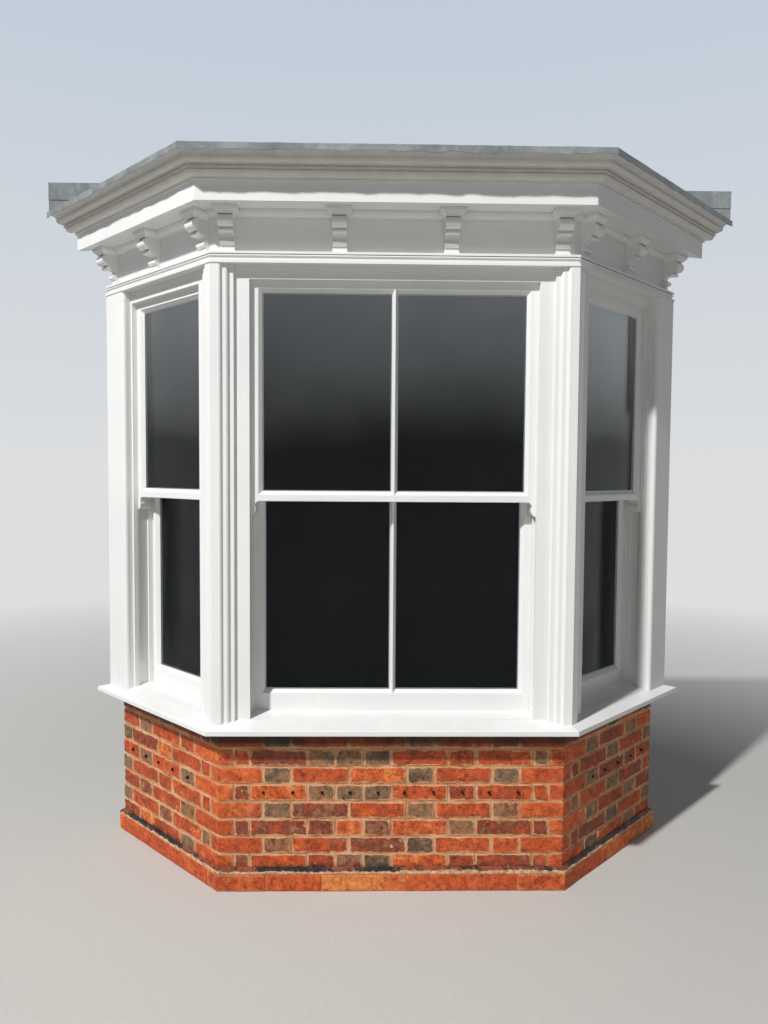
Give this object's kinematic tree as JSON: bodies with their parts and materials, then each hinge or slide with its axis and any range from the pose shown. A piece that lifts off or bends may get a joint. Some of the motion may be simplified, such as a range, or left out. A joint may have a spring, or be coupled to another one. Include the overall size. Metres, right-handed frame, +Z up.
{
  "type": "bay window",
  "caption": "Splayed timber bay window with sliding sashes, moulded corner posts, bracketed cornice and lead roof on a brick dwarf wall.",
  "frame": {"origin": "centre of the footprint's bounding box, on the ground under the bay", "axes": "+Z up, the front of the bay faces -Y, +X to the right seen from outside"},
  "size_m": [3.2038, 0.8996, 3.0456],
  "materials": {
    "brickwork": "weathered red brick with buff mortar",
    "bitumen": "black damp course, dull",
    "painted_timber": "white eggshell paint on softwood",
    "bare_softwood": "sawn, bare",
    "window_glass": "clear, polished",
    "sheet_lead": "weathered lead with a pale patina",
    "plaster": "painted plaster"
  },
  "bodies": {
    "root": {"base_course": "brickwork", "bay_ceiling": "plaster", "bed_mould_front": "painted_timber", "bed_mould_left": "painted_timber", "bed_mould_right": "painted_timber", "brackets_front": "painted_timber", "brackets_left": "painted_timber", "brackets_right": "painted_timber", "brick_dwarf_wall": "brickwork", "corner_post_left": "painted_timber", "corner_post_right": "painted_timber", "crown_mould_front": "painted_timber", "crown_mould_left": "painted_timber", "crown_mould_right": "painted_timber", "damp_proof_course": "bitumen", "fascia_front": "painted_timber", "fascia_left": "painted_timber", "fascia_right": "painted_timber", "frieze_front": "painted_timber", "frieze_left": "painted_timber", "frieze_right": "painted_timber", "glass_front": "window_glass", "glass_left": "window_glass", "glass_right": "window_glass", "head_mould_front": "painted_timber", "head_mould_left": "painted_timber", "head_mould_right": "painted_timber", "lead_roof": "sheet_lead", "lower_sash_front": "painted_timber", "lower_sash_left": "painted_timber", "lower_sash_right": "painted_timber", "roof_deck": "bare_softwood", "roof_joists": "bare_softwood", "sash_box_front": "painted_timber", "sash_box_left": "painted_timber", "sash_box_right": "painted_timber", "sill_front": "painted_timber", "sill_left": "painted_timber", "sill_right": "painted_timber", "soffit": "painted_timber", "upper_sash_front": "painted_timber", "upper_sash_left": "painted_timber", "upper_sash_right": "painted_timber", "wall_flashing": "sheet_lead", "wall_post_left": "painted_timber", "wall_post_right": "painted_timber", "window_board": "painted_timber"}
  },
  "joints": []
}
